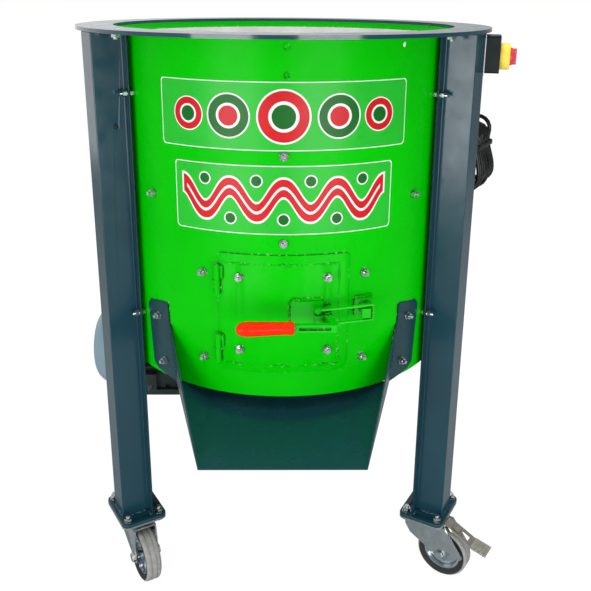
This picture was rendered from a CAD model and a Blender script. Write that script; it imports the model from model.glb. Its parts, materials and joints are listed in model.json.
"""Looks of a walnut huller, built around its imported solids: paint, metal, cable, welds and the studio."""

import json
import math
import random

import bpy
from mathutils import Matrix, Vector


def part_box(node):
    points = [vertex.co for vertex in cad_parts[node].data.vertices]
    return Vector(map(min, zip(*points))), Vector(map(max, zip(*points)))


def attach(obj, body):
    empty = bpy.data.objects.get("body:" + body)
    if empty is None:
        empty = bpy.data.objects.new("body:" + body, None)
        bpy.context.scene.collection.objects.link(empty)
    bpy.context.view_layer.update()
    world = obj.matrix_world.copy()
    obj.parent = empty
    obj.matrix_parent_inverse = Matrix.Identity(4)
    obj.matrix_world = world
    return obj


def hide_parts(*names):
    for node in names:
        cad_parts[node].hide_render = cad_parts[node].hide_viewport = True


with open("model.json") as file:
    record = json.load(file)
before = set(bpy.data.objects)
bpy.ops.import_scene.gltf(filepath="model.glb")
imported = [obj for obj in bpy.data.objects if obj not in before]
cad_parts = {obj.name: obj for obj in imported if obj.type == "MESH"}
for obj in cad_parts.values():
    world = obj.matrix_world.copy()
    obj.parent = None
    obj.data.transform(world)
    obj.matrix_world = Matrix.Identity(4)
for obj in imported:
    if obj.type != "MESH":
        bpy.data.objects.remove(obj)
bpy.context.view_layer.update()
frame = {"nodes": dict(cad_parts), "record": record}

bl_info = {
    "name": "Walnut huller looks",
    "version": (1, 0, 0),
    "blender": (4, 5, 0),
    "location": "View3D > Sidebar > Huller",
    "description": "Dresses the walnut huller's solids and sets up its studio",
    "category": "Object",
}

MM = 0.001
NODES = frame["nodes"]
JOINTS = {joint["name"]: joint for joint in frame["record"]["behaviour"]["joints"]}

# Azimuths of the legs and of the drum's front, in degrees about the drum's axis
LEG_AZIMUTHS = {"left": 210.0, "right": 330.0, "rear": 90.0}
FRONT = 270.0

# Radii and heights read off the solids
DRUM_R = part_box("drum_shell")[1].x
DOOR_R = -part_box("door_panel")[0].y
DOOR_LOW, DOOR_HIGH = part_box("door_panel")
FOOT_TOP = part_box("foot_plates")[1].z
# Azimuth of the two holes in the drum's front, and the height and dish depth in mm of the plug in each
PLUG_AZIMUTH = 270.75
PLUGS = ((1006.5 * MM, -0.8), (966 * MM, -3.5))
# Heights of the printed panels' middles, and half a wave's length and the rise of the lower one's ribbon in mm
UPPER_PANEL, LOWER_PANEL = 906 * MM, 778.5 * MM
RIBBON_STEP, RIBBON_RISE = 41.5, 20


# Properties a user would change


class HullerColours(bpy.types.PropertyGroup):
    """Colours of the finishes, as sRGB hex values."""

    drum: bpy.props.StringProperty(
        name="Drum", description="Powder coat of the drum and door", default="#02C602"
    )
    legs: bpy.props.StringProperty(
        name="Legs", description="Powder coat of the legs, feet and ring", default="#19414E"
    )
    chute: bpy.props.StringProperty(
        name="Chute", description="Powder coat of the chute and pan", default="#123F45"
    )
    liner: bpy.props.StringProperty(
        name="Liner", description="Plastic sheet inside the drum", default="#F6F6F3"
    )
    grip: bpy.props.StringProperty(
        name="Grip", description="Dipped vinyl of the latch grip", default="#FF2600"
    )
    fan_cover: bpy.props.StringProperty(
        name="Fan cover", description="Paint of the motor's fan cover", default="#84A0AE"
    )
    tread: bpy.props.StringProperty(
        name="Tread", description="Rubber of the wheels' tread", default="#A3A39F"
    )


class HullerCable(bpy.types.PropertyGroup):
    """Sizes of the mains cable and its hank."""

    diameter: bpy.props.FloatProperty(
        name="Diameter", description="Cable diameter", default=7 * MM, unit="LENGTH"
    )
    bend: bpy.props.FloatProperty(
        name="Bend", description="Radius of the hank's lower folds", default=24 * MM, unit="LENGTH"
    )
    fold: bpy.props.FloatProperty(
        name="Fold", description="Radius of the hank's upper folds", default=21 * MM, unit="LENGTH"
    )
    run: bpy.props.FloatProperty(
        name="Run", description="Straight run of a hank loop", default=68 * MM, unit="LENGTH"
    )
    loops: bpy.props.IntProperty(
        name="Loops", description="Whole loops in the hank", default=9
    )
    pitch: bpy.props.FloatProperty(
        name="Pitch", description="Spacing of the loops", default=7.8 * MM, unit="LENGTH"
    )


class HullerCamera(bpy.types.PropertyGroup):
    """The camera, fitted to the photograph's frame."""

    place: bpy.props.FloatVectorProperty(
        name="Place", description="Camera position", default=(0.0021, -1.445, 1.0831),
        subtype="XYZ", unit="LENGTH",
    )
    pitch: bpy.props.FloatProperty(
        name="Pitch", description="Tilt down", default=math.radians(17.417), subtype="ANGLE"
    )
    yaw: bpy.props.FloatProperty(
        name="Yaw", description="Turn left", default=math.radians(-0.817), subtype="ANGLE"
    )
    roll: bpy.props.FloatProperty(
        name="Roll", description="Turn about the view", default=math.radians(0.431), subtype="ANGLE"
    )
    focal: bpy.props.FloatProperty(
        name="Focal length", description="For a sensor 36 mm wide", default=47.42
    )
    rise: bpy.props.FloatProperty(
        name="Shift", description="Vertical lens shift", default=-0.1024
    )


# Shared makers


def linear(hex_colour, gain=1.0):
    """An sRGB hex value as linear RGBA, made lighter or darker by gain."""
    channels = [int(hex_colour[i : i + 2], 16) / 255 for i in (1, 3, 5)]
    return (*[min(1.0, gain * (c / 12.92 if c <= 0.04045 else ((c + 0.055) / 1.055) ** 2.4)) for c in channels], 1.0)


def add_node(tree, kind, inputs=None, **settings):
    """Adds a node, gives it its settings, and fills its sockets with values or with (node, output) links."""
    node = tree.nodes.new(kind)
    for name, value in settings.items():
        setattr(node, name, value)
    for name, value in (inputs or {}).items():
        if isinstance(value, tuple) and isinstance(value[0], bpy.types.Node):
            tree.links.new(value[0].outputs[value[1]], node.inputs[name])
        else:
            node.inputs[name].default_value = value
    return node


def new_material(name):
    """A material with only its output, and the surface's place in metres."""
    material = bpy.data.materials.new(name)
    material.use_nodes = True
    tree = material.node_tree
    tree.nodes.clear()
    return material, tree, add_node(tree, "ShaderNodeTexCoord")


def surface(tree, sockets):
    """The shader that all finishes end in."""
    shader = add_node(tree, "ShaderNodeBsdfPrincipled", sockets)
    add_node(tree, "ShaderNodeOutputMaterial", {"Surface": (shader, "BSDF")})


def noise(tree, place, size, detail=3.0, roughness=0.55):
    """Cloudy pattern whose blotches are about size metres across."""
    return add_node(
        tree, "ShaderNodeTexNoise",
        {"Vector": (place, "Object"), "Scale": 1 / size, "Detail": detail, "Roughness": roughness},
    )


def spread(tree, pattern, low, high, start=0.3, end=0.7):
    """A pattern's value stretched from start..end to low..high."""
    return add_node(
        tree, "ShaderNodeMapRange",
        {"Value": (pattern, 0), "From Min": start, "From Max": end, "To Min": low, "To Max": high},
    )


def blend_colours(tree, factor, first, second):
    """Mixes two colours, each a value or a (node, output) link."""
    mix = add_node(tree, "ShaderNodeMix", data_type="RGBA")
    tree.links.new(factor[0].outputs[factor[1]], mix.inputs[0])
    for socket, colour in ((mix.inputs[6], first), (mix.inputs[7], second)):
        if isinstance(colour[0], bpy.types.Node):
            tree.links.new(colour[0].outputs[colour[1]], socket)
        else:
            socket.default_value = colour
    return (mix, 2)


def bump(tree, pattern, height, strength):
    """Relief of the given height in metres."""
    return add_node(tree, "ShaderNodeBump", {"Height": (pattern, 0), "Distance": height, "Strength": strength})


def powder_coat(name, hex_colour, rough, scuff_hex, shine=0.5, seam=0.0, reach=3.5 * MM, chips=1.0, peel=0.2):
    """Powder-coated sheet steel: baked-on paint with a fine orange peel, faint cloudiness, pale rub marks
    and a little grime where two sheets meet."""
    material, tree, place = new_material(name)
    cloud = spread(tree, noise(tree, place, 160 * MM), 0, 1)
    paint = blend_colours(tree, (cloud, 0), linear(hex_colour, 0.94), linear(hex_colour, 1.05))
    # Rub marks: small pale smears, about 9 mm across and thin on the ground
    rub = spread(tree, noise(tree, place, 9 * MM, 6.0, 0.7), 0, 0.2, 0.66, 0.8)
    paint = blend_colours(tree, (rub, 0), paint, linear(scuff_hex))
    if seam:
        corner = add_node(tree, "ShaderNodeAmbientOcclusion", {"Distance": reach}, samples=6)
        grime = add_node(tree, "ShaderNodeMapRange", {"Value": (corner, "AO"), "From Min": 0.9, "From Max": 0.45,
                                                      "To Min": 0.0, "To Max": seam})
        paint = blend_colours(tree, (grime, 0), paint, linear(hex_colour, 0.08))
        # Chips: pale flecks about 2 mm across, in scattered stretches of the seam
        fleck = spread(tree, noise(tree, place, 5 * MM, 4.0, 0.7), 0, chips, 0.56, 0.62)
        chip = add_node(tree, "ShaderNodeMath", {0: (fleck, 0), 1: (grime, 0)}, operation="MULTIPLY")
        paint = blend_colours(tree, (chip, 0), paint, linear("#E4EFDC"))
    gloss = spread(tree, noise(tree, place, 30 * MM), rough - 0.04, rough + 0.07)
    # Orange peel is near 1 mm on the real coat, drawn at 4 mm so that it shows
    skin = bump(tree, noise(tree, place, 4 * MM, 1.0), 0.1 * MM, peel)
    surface(tree, {"Base Color": paint, "Roughness": (gloss, 0), "Normal": (skin, "Normal"),
                   "Specular IOR Level": shine})
    return material


def printed_vinyl(name, hex_colour):
    """Printed vinyl film: smooth and even, with a faint unevenness from the squeegee."""
    material, tree, place = new_material(name)
    cloud = spread(tree, noise(tree, place, 50 * MM), 0, 1)
    ink = blend_colours(tree, (cloud, 0), linear(hex_colour, 0.96), linear(hex_colour, 1.04))
    gloss = spread(tree, noise(tree, place, 25 * MM), 0.26, 0.36)
    streaks = bump(tree, noise(tree, place, 18 * MM, 1.0), 0.1 * MM, 0.15)
    surface(tree, {"Base Color": ink, "Roughness": (gloss, 0), "Normal": (streaks, "Normal"),
                   "Specular IOR Level": 0.25})
    return material


def zinc_plate(name, hex_colour, rough):
    """Zinc-plated steel: bright grey metal, blotched where the bath left it thicker, with a dull bloom."""
    material, tree, place = new_material(name)
    blotch = spread(tree, noise(tree, place, 12 * MM, 3.0), 0, 1)
    metal = blend_colours(tree, (blotch, 0), linear(hex_colour, 0.84), linear(hex_colour, 1.06))
    # Corners and hollows hold dust and stay darker
    corner = add_node(tree, "ShaderNodeAmbientOcclusion", {"Distance": 5 * MM}, samples=6)
    hollow = add_node(tree, "ShaderNodeMapRange", {"Value": (corner, "AO"), "From Min": 0.85, "From Max": 0.35,
                                                   "To Min": 0.0, "To Max": 0.85})
    metal = blend_colours(tree, (hollow, 0), metal, linear("#3A4042"))
    bloom = spread(tree, noise(tree, place, 8 * MM, 3.0), rough - 0.05, rough + 0.1)
    grain = bump(tree, noise(tree, place, 3 * MM), 0.03 * MM, 0.15)
    surface(tree, {"Base Color": metal, "Metallic": 1.0, "Roughness": (bloom, 0), "Normal": (grain, "Normal")})
    return material


def turned_steel(name, hex_colour="#A9ABAC"):
    """Steel plate faced on a lathe: fine rings about the drum's axis, polished unevenly by nuts."""
    material, tree, place = new_material(name)
    flat = add_node(tree, "ShaderNodeVectorMath", {0: (place, "Object"), 1: (1, 1, 0)}, operation="MULTIPLY")
    reach = add_node(tree, "ShaderNodeVectorMath", {0: (flat, 0)}, operation="LENGTH")
    # Tool rings 0.5 mm apart are drawn 3 mm apart so that they show
    rings = add_node(tree, "ShaderNodeTexNoise", {"W": (reach, "Value"), "Scale": 1 / (3 * MM), "Detail": 2.0},
                     noise_dimensions="1D")
    worn = spread(tree, noise(tree, place, 45 * MM), 0, 1)
    metal = blend_colours(tree, (worn, 0), linear(hex_colour, 0.7), linear(hex_colour, 1.1))
    gloss = spread(tree, rings, 0.24, 0.44)
    lines = bump(tree, rings, 0.08 * MM, 0.4)
    surface(tree, {"Base Color": metal, "Metallic": 1.0, "Roughness": (gloss, 0), "Normal": (lines, "Normal")})
    return material


def moulded(name, hex_colour, rough, grain, grain_height, shine=0.5):
    """Moulded plastic or rubber: even colour with the mould's fine grain and a little handling shine."""
    material, tree, place = new_material(name)
    cloud = spread(tree, noise(tree, place, 35 * MM), 0, 1)
    colour = blend_colours(tree, (cloud, 0), linear(hex_colour, 0.9), linear(hex_colour, 1.1))
    gloss = spread(tree, noise(tree, place, 14 * MM, 4.0), rough - 0.06, rough + 0.08)
    relief = bump(tree, noise(tree, place, grain, 2.0), grain_height, 0.5)
    surface(tree, {"Base Color": colour, "Roughness": (gloss, 0), "Normal": (relief, "Normal"),
                   "Specular IOR Level": shine})
    return material


def cast_paint(name, hex_colour, rough):
    """Painted casting: the sand's coarse skin under enamel, darker in its hollows."""
    material, tree, place = new_material(name)
    skin = noise(tree, place, 2.5 * MM, 4.0)
    cloud = spread(tree, noise(tree, place, 60 * MM), 0, 1)
    colour = blend_colours(tree, (cloud, 0), linear(hex_colour, 0.85), linear(hex_colour, 1.1))
    relief = bump(tree, skin, 0.25 * MM, 0.5)
    surface(tree, {"Base Color": colour, "Roughness": rough, "Normal": (relief, "Normal"), "Coat Weight": 0.1})
    return material


def wheel_rubber(name, side, tread_hex):
    """Grey rubber tread vulcanised to a black tyre: the colour changes where the tread's shoulder ends."""
    hub, axle = (tuple(JOINTS["wheel_" + side][key]) for key in ("pos_m", "axis"))
    material, tree, place = new_material(name)
    # Distance of the surface from the axle's line
    arm = add_node(tree, "ShaderNodeVectorMath", {0: (place, "Object"), 1: hub}, operation="SUBTRACT")
    offset = add_node(tree, "ShaderNodeVectorMath", {0: (arm, 0), 1: axle}, operation="DOT_PRODUCT")
    along = add_node(tree, "ShaderNodeVectorMath", {0: axle, "Scale": (offset, "Value")}, operation="SCALE")
    spoke = add_node(tree, "ShaderNodeVectorMath", {0: (arm, 0), 1: (along, 0)}, operation="SUBTRACT")
    reach = add_node(tree, "ShaderNodeVectorMath", {0: (spoke, 0)}, operation="LENGTH")
    on_tread = add_node(tree, "ShaderNodeMapRange", {"Value": (reach, "Value"), "From Min": 45.5 * MM,
                                                     "From Max": 47 * MM})
    dust = spread(tree, noise(tree, place, 10 * MM, 5.0), 0, 1)
    grey = blend_colours(tree, (dust, 0), linear(tread_hex, 0.8), linear(tread_hex, 1.12))
    colour = blend_colours(tree, (on_tread, 0), linear("#2C2D2E"), grey)
    relief = bump(tree, noise(tree, place, 1.8 * MM), 0.1 * MM, 0.5)
    surface(tree, {"Base Color": colour, "Roughness": 0.72, "Normal": (relief, "Normal")})
    return material


def dress(material, *names):
    """Gives CAD nodes their finish."""
    for name in names:
        mesh = NODES[name].data
        mesh.materials.clear()
        mesh.materials.append(material)


def soften(width, *names):
    """Breaks the sharp edges of CAD nodes with a small round, as on pressed or cast pieces."""
    for name in names:
        node = NODES[name]
        weld = node.modifiers.new("joined corners", "WELD")
        weld.merge_threshold = 0.002 * MM
        edge = node.modifiers.new("broken edges", "BEVEL")
        edge.width = width
        edge.segments = 2
        edge.limit_method = "ANGLE"
        edge.angle_limit = math.radians(40)
        edge.harden_normals = True


def add_piece(name, verts, faces, materials, body, picks=None):
    """A new smooth mesh piece that rides on a body; picks gives each face's material by its number."""
    mesh = bpy.data.meshes.new(name)
    mesh.from_pydata([tuple(v) for v in verts], [], faces)
    mesh.update()
    for material in materials:
        mesh.materials.append(material)
    for polygon in mesh.polygons:
        polygon.use_smooth = True
        if picks:
            polygon.material_index = picks[polygon.index]
    piece = bpy.data.objects.new(name, mesh)
    bpy.context.scene.collection.objects.link(piece)
    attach(piece, body)
    return piece


def leg_turn(side):
    """From a leg's own frame, x outwards and z up, to the row frame."""
    return Matrix.Rotation(math.radians(LEG_AZIMUTHS[side]), 4, "Z")


def bead_mesh(paths, width, seed, lump=0.22, sides=8):
    """Verts and faces of weld beads: rippled half-buried ropes along the paths."""
    rng = random.Random(seed)
    verts, faces = [], []
    spacing = width * 0.45
    for path in paths:
        stops = [Vector(p) for p in path]
        line = []
        for a, b in zip(stops, stops[1:]):
            count = max(2, round((b - a).length / spacing))
            line += [a.lerp(b, i / count) for i in range(count)]
        line.append(stops[-1])
        first = len(verts)
        for i, point in enumerate(line):
            ahead = (line[min(i + 1, len(line) - 1)] - line[max(i - 1, 0)]).normalized()
            aside = ahead.orthogonal().normalized()
            other = ahead.cross(aside)
            ripple = 1 + lump * math.sin(i * 2.1) + rng.uniform(-lump, lump)
            end = 0.35 if i in (0, len(line) - 1) else 1.0
            r = width / 2 * ripple * end
            drift = Vector([rng.uniform(-1, 1) * width * 0.08 for _ in range(3)])
            for k in range(sides):
                turn = 2 * math.pi * k / sides
                verts.append(point + drift + r * (math.cos(turn) * aside + math.sin(turn) * other))
        for i in range(len(line) - 1):
            for k in range(sides):
                a, b = first + i * sides + k, first + i * sides + (k + 1) % sides
                faces.append((a, b, b + sides, a + sides))
        faces.append(tuple(first + k for k in reversed(range(sides))))
        faces.append(tuple(first + (len(line) - 1) * sides + k for k in range(sides)))
    return verts, faces


def on_drum(azimuth, height, radius):
    """A point on a cylinder about the drum's axis."""
    turn = math.radians(azimuth)
    return Vector((radius * math.cos(turn), radius * math.sin(turn), height))


def finishes():
    """The colours that the user set."""
    return bpy.context.scene.huller_colours


# Operators, in the order they run


class HULLER_OT_studio(bpy.types.Operator):
    """Sets up the camera, the pale floor and the soft light"""

    bl_idname = "huller.studio"
    bl_label = "Studio"

    def execute(self, context):
        self.camera(context.scene)
        self.world(context.scene)
        self.floor()
        self.lamps()
        context.scene.view_settings.view_transform = "Standard"
        return {"FINISHED"}

    def camera(self, scene):
        """The camera at the fitted place, turned by yaw, pitch and roll."""
        fit = scene.huller_camera
        data = bpy.data.cameras.new("photo camera")
        data.sensor_width = 36
        data.sensor_fit = "HORIZONTAL"
        data.lens = fit.focal
        data.shift_y = fit.rise
        data.clip_end = 50
        camera = bpy.data.objects.new("photo camera", data)
        scene.collection.objects.link(camera)
        side = Vector((math.cos(fit.yaw), math.sin(fit.yaw), 0))
        ahead = Vector((-math.sin(fit.yaw), math.cos(fit.yaw), 0))
        sky = Vector((0, 0, 1))
        view = math.cos(fit.pitch) * ahead - math.sin(fit.pitch) * sky
        up = math.sin(fit.pitch) * ahead + math.cos(fit.pitch) * sky
        right = math.cos(fit.roll) * side + math.sin(fit.roll) * up
        top = -math.sin(fit.roll) * side + math.cos(fit.roll) * up
        camera.matrix_world = Matrix.Translation(fit.place) @ Matrix((right, top, -view)).transposed().to_4x4()
        scene.camera = camera

    def world(self, scene):
        """Even studio light that is white to the camera."""
        world = bpy.data.worlds.new("studio")
        world.use_nodes = True
        tree = world.node_tree
        tree.nodes.clear()
        path = add_node(tree, "ShaderNodeLightPath")
        light = add_node(tree, "ShaderNodeBackground", {"Color": (1, 1, 1, 1), "Strength": 0.5})
        # Shiny surfaces mirror a white backdrop behind the machine, brighter to its left, and a dimmer room in front
        way = add_node(tree, "ShaderNodeTexCoord")
        parts = add_node(tree, "ShaderNodeSeparateXYZ", {"Vector": (way, "Generated")})
        behind = add_node(tree, "ShaderNodeMapRange", {"Value": (parts, "Y"), "From Min": -0.1, "From Max": 0.4,
                                                       "To Min": 0.42, "To Max": 0.88})
        aside = add_node(tree, "ShaderNodeMapRange", {"Value": (parts, "X"), "From Min": -0.7, "From Max": 0.7,
                                                      "To Min": 1.25, "To Max": 0.25})
        level = add_node(tree, "ShaderNodeMath", {0: (behind, 0), 1: (aside, 0)}, operation="MULTIPLY")
        glint = add_node(tree, "ShaderNodeBackground", {"Color": (1, 1, 1, 1), "Strength": (level, 0)})
        white = add_node(tree, "ShaderNodeBackground", {"Color": (1, 1, 1, 1), "Strength": 1.0})
        lit = add_node(tree, "ShaderNodeMixShader", {0: (path, "Is Glossy Ray"), 1: (light, 0), 2: (glint, 0)})
        mix = add_node(tree, "ShaderNodeMixShader", {0: (path, "Is Camera Ray"), 1: (lit, 0), 2: (white, 0)})
        add_node(tree, "ShaderNodeOutputWorld", {"Surface": (mix, 0)})
        scene.world = world

    def floor(self):
        """White paper sheet: keeps a soft shadow, and is white to the camera where lit and grey to what mirrors it."""
        material, tree, _ = new_material("paper floor")
        path = add_node(tree, "ShaderNodeLightPath")
        tone = blend_colours(tree, (path, "Is Glossy Ray"), (0.85, 0.85, 0.85, 1), (0.45, 0.47, 0.48, 1))
        paper = add_node(tree, "ShaderNodeBsdfDiffuse", {"Color": tone})
        glow = add_node(tree, "ShaderNodeEmission", {"Color": (1, 1, 1, 1), "Strength": 1.1})
        share = add_node(tree, "ShaderNodeMath", {0: (path, "Is Camera Ray"), 1: 0.86}, operation="MULTIPLY")
        mix = add_node(tree, "ShaderNodeMixShader", {0: (share, 0), 1: (paper, 0), 2: (glow, 0)})
        add_node(tree, "ShaderNodeOutputMaterial", {"Surface": (mix, 0)})
        reach = 3.2
        mesh = bpy.data.meshes.new("paper floor")
        mesh.from_pydata([(-reach, -reach, 0), (reach, -reach, 0), (reach, reach, 0), (-reach, reach, 0)], [],
                         [(0, 1, 2, 3)])
        mesh.materials.append(material)
        floor = bpy.data.objects.new("paper_floor", mesh)
        bpy.context.scene.collection.objects.link(floor)

    def lamps(self):
        """Two wide soft boxes in front, one above the mouth and one behind for the rims. The front ones end below
        the ring and the others aren't mirrored, so the glossy ring shows no lamp from any side."""
        for name, place, wide, tall, watts, mirrored in (
            ("key soft box", (-1.5, -2.6, 0.53), 1.6, 0.95, 24, True),
            ("fill soft box", (1.1, -2.75, 0.53), 1.6, 0.95, 22, True),
            ("top soft box", (0.1, -0.4, 2.9), 1.4, 1.4, 40, False),
            ("back soft box", (0.6, 2.4, 2.2), 1.8, 1.8, 22, False),
        ):
            data = bpy.data.lights.new(name, "AREA")
            data.shape = "RECTANGLE"
            data.size = wide
            data.size_y = tall
            data.energy = watts
            lamp = bpy.data.objects.new(name, data)
            lamp.location = place
            lamp.rotation_euler = (Vector((0, 0, 0.55)) - lamp.location).to_track_quat("-Z", "Y").to_euler()
            lamp.visible_glossy = mirrored
            bpy.context.scene.collection.objects.link(lamp)


class HULLER_OT_cable(bpy.types.Operator):
    """Lays the mains cable from its gland through the tied hank to the plug"""

    bl_idname = "huller.cable"
    bl_label = "Mains cable"

    def execute(self, context):
        size = context.scene.huller_cable
        turn = leg_turn("right")
        inverse = turn.inverted()
        gland = inverse @ self.middle("cord_gland")
        gland.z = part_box("cord_gland")[0].z
        plug = inverse @ self.middle("plug")
        plug.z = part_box("plug")[1].z
        hank = self.hank_line(size, inverse)
        lead = self.gentle_bend(gland, hank[0] + Vector((0, 0, 9 * MM)), 24)
        tail = self.gentle_bend(hank[-1] - Vector((0, 0, 5 * MM)), plug, 24)
        line = [turn @ point for point in lead + hank + tail]
        curve = bpy.data.curves.new("mains_cable", "CURVE")
        curve.dimensions = "3D"
        curve.bevel_depth = size.diameter / 2
        curve.bevel_resolution = 4
        curve.use_fill_caps = True
        spline = curve.splines.new("POLY")
        spline.points.add(len(line) - 1)
        for point, place in zip(spline.points, line):
            point.co = (*place, 1)
        spline.use_smooth = True
        curve.materials.append(moulded("rubber-sheathed cable", "#0A100E", 0.22, 1.2 * MM, 0.02 * MM, 0.5))
        cable = bpy.data.objects.new("mains_cable", curve)
        context.scene.collection.objects.link(cable)
        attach(cable, "frame")
        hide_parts("power_cord", "cord_hank")
        nylon = moulded("moulded black nylon", "#141516", 0.42, 0.9 * MM, 0.04 * MM)
        self.tie_band(nylon)
        dress(nylon, "cord_gland", "plug")
        return {"FINISHED"}

    def gentle_bend(self, start, end, count):
        """A line that leaves start downwards, moves aside in two even arcs and comes down on end."""
        gap = end - start
        line = []
        for k in range(count + 1):
            down = k / count
            aside = 2 * down * down if down < 0.5 else 1 - 2 * (1 - down) ** 2
            line.append(start + Vector((aside * gap.x, aside * gap.y, down * gap.z)))
        return line

    def middle(self, node):
        """The middle of a CAD node's box."""
        low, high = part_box(node)
        return (low + high) / 2

    def hank_line(self, size, inverse):
        """Centreline of the hank in the right leg's frame: loops side by side, drawn in a little at the tie."""
        tie = inverse @ self.middle("cord_tie")
        tie_depth, waist = 18 * MM, size.fold - 3 * MM
        low_end = size.run + math.pi * size.bend
        high_end = low_end + size.run
        lap = high_end + math.pi * size.fold
        total = size.loops * lap + size.run
        width = total / lap * size.pitch
        count = size.loops * 36 + 8
        # Hand-wound loops differ: each has its own width and its own shift of the top and bottom fold
        rng = random.Random(4)
        widths = [rng.uniform(0.98, 1.06) for _ in range(size.loops + 2)]
        tops = [rng.uniform(-6, -3) * MM for _ in range(size.loops + 2)]
        bottoms = [rng.uniform(-7, 8) * MM for _ in range(size.loops + 2)]
        tops[0] = bottoms[0] = bottoms[size.loops] = 0.0
        # The outermost fold stands above the others
        tops[1] = 6 * MM

        def half_width(depth):
            if depth < tie_depth:
                return size.fold + (waist - size.fold) * (1 - math.cos(math.pi * depth / tie_depth)) / 2
            share = (depth - tie_depth) / (size.run - tie_depth)
            return waist + (size.bend - waist) * (1 - math.cos(math.pi * share)) / 2

        line = []
        for i in range(count + 1):
            s = total * i / count
            turn, u = int(s // lap), s % lap
            if u < size.run:
                x, z = half_width(u), -u
            elif u < low_end:
                a = (u - size.run) / size.bend
                x, z = size.bend * math.cos(a), -size.run - size.bend * math.sin(a)
            elif u < high_end:
                x, z = -half_width(high_end - u), u - high_end
            else:
                a = (u - high_end) / size.fold
                x, z = -size.fold * math.cos(a), size.fold * math.sin(a)
            wide = widths[turn] + (widths[turn + 1] - widths[turn]) * u / lap
            depth = min(1.0, max(0.0, -z / size.run))
            below = depth * depth * (3 - 2 * depth)
            peak = tops[turn] if u < (size.run + low_end) / 2 else tops[turn + 1]
            sag = bottoms[turn] * below + peak * (1 - below)
            # Below the tie the loops splay away from the leg
            aside = (width - s / lap * size.pitch) * (1 + 0.35 * below) - width / 2
            line.append(Vector((tie.x - x * wide, tie.y + aside, tie.z + tie_depth + z + sag)))
        return line

    def tie_band(self, nylon):
        """The strap round the hank: a rounded oblong band with soft edges."""
        turn = leg_turn("right")
        tie = turn.inverted() @ self.middle("cord_tie") + Vector((0, 2.2 * MM, 0))
        half_x, half_y, corner, steps = 23.7 * MM, 43.2 * MM, 7 * MM, 8
        # Stand-off and rise of the band's section, in mm, round from its inner lower edge
        section = ((0, -4), (0.9, -4), (1.5, -3.2), (1.5, 3.2), (0.9, 4), (0, 4))
        verts, faces = [], []
        for quarter, (sx, sy) in enumerate(((1, 1), (-1, 1), (-1, -1), (1, -1))):
            middle = tie + Vector((sx * (half_x - corner), sy * (half_y - corner), 0))
            for k in range(steps):
                a = math.pi / 2 * (quarter + k / (steps - 1))
                out = Vector((math.cos(a), math.sin(a), 0))
                for off, rise in section:
                    verts.append(turn @ (middle + out * (corner + off * MM) + Vector((0, 0, rise * MM))))
        around, across = 4 * steps, len(section)
        for k in range(around):
            for j in range(across):
                a, b = k * across, (k + 1) % around * across
                faces.append((a + j, b + j, b + (j + 1) % across, a + (j + 1) % across))
        band = add_piece("cable_tie", verts, faces, [nylon], "frame")
        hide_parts("cord_tie")
        return band


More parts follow.
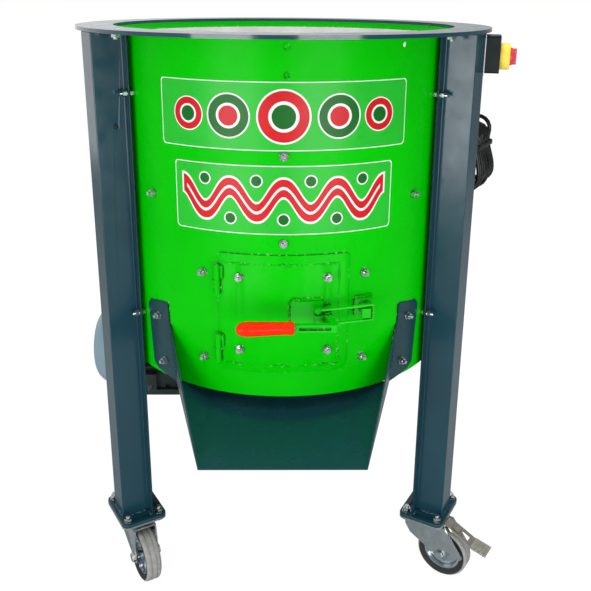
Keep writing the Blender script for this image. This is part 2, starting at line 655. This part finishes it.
class HULLER_OT_drum(bpy.types.Operator):
    """Finishes the drum, its door, hinges, latch and liner"""

    bl_idname = "huller.drum"
    bl_label = "Drum and door"

    def execute(self, context):
        colours = finishes()
        paint = powder_coat("green powder coat", colours.drum, 0.28, "#58DB4E", 0.07, 0.9)
        dress(paint, "drum_shell", "door_panel", "hinge_sockets", "hinge_knuckles")
        # The latch was sprayed in place, so its hollows stayed dark
        thin = powder_coat("thin green powder coat", colours.drum, 0.12, "#58DB4E", 0.5, 0.85, 12 * MM, 0.3)
        dress(thin, "latch_strike", "latch_base", "latch_handle", "latch_hook")
        soften(0.6 * MM, "latch_base", "latch_handle", "latch_strike", "door_panel")
        liner = moulded("white polyethylene sheet", colours.liner, 0.5, 6 * MM, 0.15 * MM)
        dress(liner, "drum_liner", "door_plug")
        dress(moulded("dipped vinyl", colours.grip, 0.24, 3 * MM, 0.08 * MM, 0.2), "latch_grip")
        dress(turned_steel("turned steel"), "hulling_disc", "disc_ribs", "disc_cap", "main_shaft")
        self.hole_plugs(paint)
        self.door_welds(paint)
        self.latch_welds(paint)
        return {"FINISHED"}

    def on_door(self, x, z, lift=0.0):
        """A point on the door panel's face."""
        return Vector((x, -math.sqrt((DOOR_R - 0.3 * MM + lift) ** 2 - x * x), z))

    def hole_plugs(self, paint):
        """Snap-in plugs in the two holes below the ring, painted over: dished caps with a thin rim."""
        verts, faces = [], []
        count = 24
        middle, reach = DRUM_R * math.cos(math.radians(PLUG_AZIMUTH)), 5 * MM
        for height, depth in PLUGS:
            first = len(verts)
            # Rings from the edge over the rim to the middle of the dish: share of the reach, stand-off in mm
            for share, off in ((1.12, 0.1), (1.1, 0.5), (0.96, 0.5), (0.9, 0.0), (0.82, depth), (0.3, depth)):
                for k in range(count):
                    turn = 2 * math.pi * k / count
                    x, z = middle + share * reach * math.cos(turn), share * reach * math.sin(turn)
                    verts.append(Vector((x, -math.sqrt((DRUM_R + off * MM) ** 2 - x * x), height + z)))
            for ring in range(5):
                for k in range(count):
                    a, b = first + ring * count + k, first + ring * count + (k + 1) % count
                    faces.append((a, b, b + count, a + count))
            faces.append(tuple(first + 5 * count + k for k in range(count)))
        add_piece("hole_plugs", verts, faces, [paint], "frame")

    def door_welds(self, paint):
        """Painted-over seam of the door's inner frame: a thin ragged line with fatter tacks."""
        left, right = DOOR_LOW.x + 5 * MM, 88 * MM
        low, high = DOOR_LOW.z + 11 * MM, DOOR_HIGH.z - 15 * MM
        rng = random.Random(2)

        def across(x0, x1, z, count):
            xs = [x0 + (x1 - x0) * i / count for i in range(count + 1)]
            return [self.on_door(x, z + rng.uniform(-0.5, 0.5) * MM) for x in xs]

        def upright(x, z0, z1, count):
            zs = [z0 + (z1 - z0) * i / count for i in range(count + 1)]
            return [self.on_door(x + rng.uniform(-0.5, 0.5) * MM, z) for z in zs]

        lines = [across(left, right, high, 40), across(left, right, low, 40), upright(right, low, high, 34)]
        verts, faces = bead_mesh(lines, 1.7 * MM, 3, 0.25, 6)
        # Start and end of each tack in mm, and its stretches
        tacks = [across(a * MM, b * MM, high, n) for a, b, n in ((-82, -58, 8), (-6, 14, 7), (60, 82, 8))]
        tacks += [across(a * MM, b * MM, low, n) for a, b, n in ((-92, -66, 9), (-16, 8, 8), (58, 86, 9))]
        tacks.append(upright(right, high - 26 * MM, high - 8 * MM, 7))
        tacks += [upright(right, low + a * MM, low + b * MM, n) for a, b, n in ((62, 84, 8), (6, 26, 7))]
        more, more_faces = bead_mesh(tacks, 3.6 * MM, 6, 0.35, 6)
        faces += [tuple(i + len(verts) for i in face) for face in more_faces]
        add_piece("door_frame_welds", verts + more, faces, [paint], "door")

    def latch_welds(self, paint):
        """Rough beads round the latch's base and its strike."""
        low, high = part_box("latch_base")
        base_length = 50 * MM
        reach = low.x + base_length
        ring = []
        for z in (low.z, high.z):
            ring.append([self.on_door(low.x + (reach - low.x) * i / 8, z, 0.9 * MM) for i in range(9)])
        for x in (low.x, reach):
            ring.append([self.on_door(x, low.z + (high.z - low.z) * i / 5, 0.9 * MM) for i in range(6)])
        verts, faces = bead_mesh(ring, 6 * MM, 5, 0.34)
        add_piece("latch_base_welds", verts, faces, [paint], "door")
        low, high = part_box("latch_strike")
        beads = []
        for z in (low.z, high.z):
            xs = [low.x + (high.x - low.x) * i / 5 for i in range(6)]
            beads.append([Vector((x, -math.sqrt((DRUM_R + 0.6 * MM) ** 2 - x * x), z)) for x in xs])
        verts, faces = bead_mesh(beads, 6 * MM, 8, 0.3)
        add_piece("strike_welds", verts, faces, [paint], "frame")


class HULLER_OT_panels(bpy.types.Operator):
    """Lays two printed panels on the drum's front, one with a row of rings and one with a waving ribbon"""

    bl_idname = "huller.panels"
    bl_label = "Printed panels"

    def execute(self, context):
        inks = [printed_vinyl("white vinyl", "#F4F5F1"), printed_vinyl("light green vinyl", "#22C02E"),
                printed_vinyl("red vinyl", "#D2161F"), printed_vinyl("dark green vinyl", "#0B6B1F")]
        white, light, red, dark = range(4)
        # Each shape: layer, ink, middle along the drum, middle height, half length, half height, kind
        upper = [(0, white, 0, 0, 203, 51, "plate"), (1, light, 0, 0, 201.6, 49.6, "plate")]
        for place, size, inner in ((0, 41, dark), (-84, 34, red), (84, 34, red), (-151, 26, dark), (151, 26, dark)):
            outer = red if inner == dark else dark
            for layer, ink, share in ((2, white, 1), (3, outer, 0.93), (4, white, 0.56), (5, inner, 0.44)):
                upper.append((layer, ink, place, 0, size * share, size * share, "disc"))
        lower = [(0, white, 0, 0, 179, 54, "plate"), (1, light, 0, 0, 177.6, 52.6, "plate"),
                 (2, white, 0, 0, 166, 17, "ribbon"), (3, red, 0, 0, 163, 13.5, "ribbon"),
                 (4, white, 0, 0, 157, 2.2, "ribbon")]
        # A dot sits in each hollow of the ribbon
        for k in range(-3, 4):
            place, rise = RIBBON_STEP * k, 30 if k % 2 else -30
            lower += [(2, white, place, rise, 10, 10, "disc"), (3, dark, place, rise, 8, 8, "disc")]
        self.lay("upper_panel", upper, UPPER_PANEL, inks)
        self.lay("lower_panel", lower, LOWER_PANEL, inks)
        return {"FINISHED"}

    def lay(self, name, shapes, height, inks):
        """Builds a panel's shapes as thin films, one on another, bent to the drum."""
        verts, faces, picks = [], [], []
        for layer, ink, middle, rise, half, tall, kind in shapes:
            radius = DRUM_R + (0.3 + 0.12 * layer) * MM
            columns = max(28, int(half / 1.6))
            first = len(verts)
            for i in range(columns + 1):
                along = -half * math.cos(math.pi * i / columns)
                edge, lift = self.profile(kind, along, half, tall)
                azimuth = FRONT + math.degrees((middle + along) * MM / DRUM_R)
                for side in (-1, 1):
                    verts.append(on_drum(azimuth, height + (rise + lift + side * edge) * MM, radius))
            for a in range(first, first + 2 * columns, 2):
                faces.append((a, a + 2, a + 3, a + 1))
                picks.append(ink)
        add_piece(name, verts, faces, inks, "frame", picks)

    def profile(self, kind, along, half, tall):
        """Half height of a shape at a place along it, and how far its middle is lifted there."""
        if kind == "ribbon":
            wave = math.pi * along / RIBBON_STEP
            steep = RIBBON_RISE * math.pi / RIBBON_STEP * math.sin(wave)
            return tall * math.hypot(1, 0.6 * steep), RIBBON_RISE * math.cos(wave)
        corner = half if kind == "disc" else 6.0
        inset = max(0.0, abs(along) - (half - corner))
        return tall - corner + math.sqrt(max(0.0, corner * corner - inset * inset)), 0.0


class HULLER_OT_frame(bpy.types.Operator):
    """Finishes the ring, legs, feet, pan and chute"""

    bl_idname = "huller.frame"
    bl_label = "Frame and chute"

    def execute(self, context):
        colours = finishes()
        paint = powder_coat("slate powder coat", colours.legs, 0.17, "#5F7680")
        dress(paint, "leg_left", "leg_right", "leg_rear", "foot_plates")
        dress(powder_coat("dark slate powder coat", colours.chute, 0.24, "#4A646C"), "chute", "floor_pan")
        dress(powder_coat("glossy slate powder coat", colours.legs, 0.1, "#5F7680", 0.8, peel=0.05), "top_ring")
        soften(1.6 * MM, "leg_left", "leg_right", "leg_rear")
        soften(1.0 * MM, "foot_plates")
        self.foot_welds(paint)
        return {"FINISHED"}

    def foot_welds(self, paint):
        """Fillet beads where each leg stands on its foot plate."""
        web, wall, flange_x, flange_y = 361 * MM, 24 * MM, 312 * MM, 45 * MM
        outline = [(flange_x, flange_y), (flange_x, wall), (web, wall), (web, -wall), (flange_x, -wall),
                   (flange_x, -flange_y)]
        paths = []
        for side in LEG_AZIMUTHS:
            turn = leg_turn(side)
            for (x0, y0), (x1, y1) in zip(outline, outline[1:]):
                a, b = Vector((x0, y0, FOOT_TOP + 0.6 * MM)), Vector((x1, y1, FOOT_TOP + 0.6 * MM))
                paths.append([turn @ a.lerp(b, t) for t in (0.06, 0.5, 0.94)])
        verts, faces = bead_mesh(paths, 6 * MM, 11, 0.25)
        add_piece("foot_welds", verts, faces, [paint], "frame")


class HULLER_OT_fasteners(bpy.types.Operator):
    """Finishes the bolts, nuts and washers"""

    bl_idname = "huller.fasteners"
    bl_label = "Fasteners"

    def execute(self, context):
        zinc = zinc_plate("zinc-plated fasteners", "#E2E5E8", 0.14)
        dress(zinc, "frame_bolts", "liner_bolts", "door_bolts", "caster_bolts", "drive_screws")
        soften(0.5 * MM, "frame_bolts", "liner_bolts", "door_bolts", "caster_bolts")
        return {"FINISHED"}


class HULLER_OT_casters(bpy.types.Operator):
    """Finishes the casters: forks, plates, brake, rims and tyres"""

    bl_idname = "huller.casters"
    bl_label = "Casters"

    def execute(self, context):
        pressed = zinc_plate("zinc-plated pressings", "#D5DCDE", 0.17)
        dress(pressed, "caster_plates", "fork_left", "fork_right", "fork_rear")
        dress(zinc_plate("yellow-passivated pressing", "#EDEBDA", 0.12), "brake_pedal")
        soften(0.8 * MM, "fork_left", "fork_right", "fork_rear", "brake_pedal")
        rim = zinc_plate("zinc-plated rim", "#DCE6EC", 0.14)
        for side in LEG_AZIMUTHS:
            dress(rim, "rim_" + side)
            dress(wheel_rubber(f"grey rubber tyre {side}", side, finishes().tread), "tyre_" + side)
        return {"FINISHED"}


class HULLER_OT_drive(bpy.types.Operator):
    """Finishes the motor and the gearbox"""

    bl_idname = "huller.drive"
    bl_label = "Motor and gearbox"

    def execute(self, context):
        casting = cast_paint("enamelled aluminium casting", "#263230", 0.42)
        dress(casting, "motor_frame", "motor_shields")
        gear_case = cast_paint("enamelled gear case", "#6F7A80", 0.42)
        dress(gear_case, "gearbox_housing", "gearbox_cover")
        cover = powder_coat("blue-grey enamel", finishes().fan_cover, 0.36, "#B9C4CB")
        dress(cover, "fan_cover")
        soften(1.2 * MM, "terminal_box", "gearbox_housing")
        ground = zinc_plate("ground steel", "#B6B8BA", 0.28)
        dress(ground, "worm_shaft", "gearbox_bearings", "rotor_core", "stator_core")
        dress(zinc_plate("machined bronze", "#B98A45", 0.3), "worm_wheel")
        plastic = moulded("black moulded nylon", "#17181A", 0.5, 1.5 * MM, 0.06 * MM)
        dress(plastic, "cooling_fan", "terminal_box", "shaft_seal")
        return {"FINISHED"}


class HULLER_OT_switch(bpy.types.Operator):
    """Finishes the switch, its collar, knob and bracket"""

    bl_idname = "huller.switch"
    bl_label = "Switch"

    def execute(self, context):
        dress(moulded("black polycarbonate", "#0A1A1D", 0.34, 1.0 * MM, 0.02 * MM, 0.3), "switch_box")
        dress(moulded("yellow polycarbonate", "#FFDF55", 0.34, 1.2 * MM, 0.04 * MM, 0.4), "switch_collar")
        dress(moulded("red polycarbonate", "#D8404A", 0.3, 1.2 * MM, 0.04 * MM, 0.5), "switch_knob")
        dress(powder_coat("white enamel", "#E4E5E2", 0.34, "#F4F4F2"), "switch_bracket")
        soften(1.0 * MM, "switch_box", "switch_collar", "switch_knob")
        return {"FINISHED"}


class HULLER_PT_sidebar(bpy.types.Panel):
    """Lists the huller's operators and settings"""

    bl_label = "Walnut huller"
    bl_idname = "HULLER_PT_sidebar"
    bl_space_type = "VIEW_3D"
    bl_region_type = "UI"
    bl_category = "Huller"

    def draw(self, context):
        for operator in OPERATORS:
            self.layout.operator(operator.bl_idname)
        for group in (context.scene.huller_colours, context.scene.huller_cable, context.scene.huller_camera):
            box = self.layout.box()
            for name in group.__annotations__:
                box.prop(group, name)


GROUPS = {"huller_colours": HullerColours, "huller_cable": HullerCable, "huller_camera": HullerCamera}
OPERATORS = (
    HULLER_OT_studio, HULLER_OT_cable, HULLER_OT_drum, HULLER_OT_panels, HULLER_OT_frame,
    HULLER_OT_fasteners, HULLER_OT_casters, HULLER_OT_drive, HULLER_OT_switch,
)


def register():
    for cls in (*GROUPS.values(), *OPERATORS, HULLER_PT_sidebar):
        bpy.utils.register_class(cls)
    for name, cls in GROUPS.items():
        setattr(bpy.types.Scene, name, bpy.props.PointerProperty(type=cls))


def unregister():
    for name in GROUPS:
        delattr(bpy.types.Scene, name)
    for cls in reversed((*GROUPS.values(), *OPERATORS, HULLER_PT_sidebar)):
        bpy.utils.unregister_class(cls)


def main():
    """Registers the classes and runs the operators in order."""
    register()
    bpy.ops.huller.studio()
    bpy.ops.huller.cable()
    bpy.ops.huller.drum()
    bpy.ops.huller.panels()
    bpy.ops.huller.frame()
    bpy.ops.huller.fasteners()
    bpy.ops.huller.casters()
    bpy.ops.huller.drive()
    bpy.ops.huller.switch()


if __name__ == "__main__":
    main()
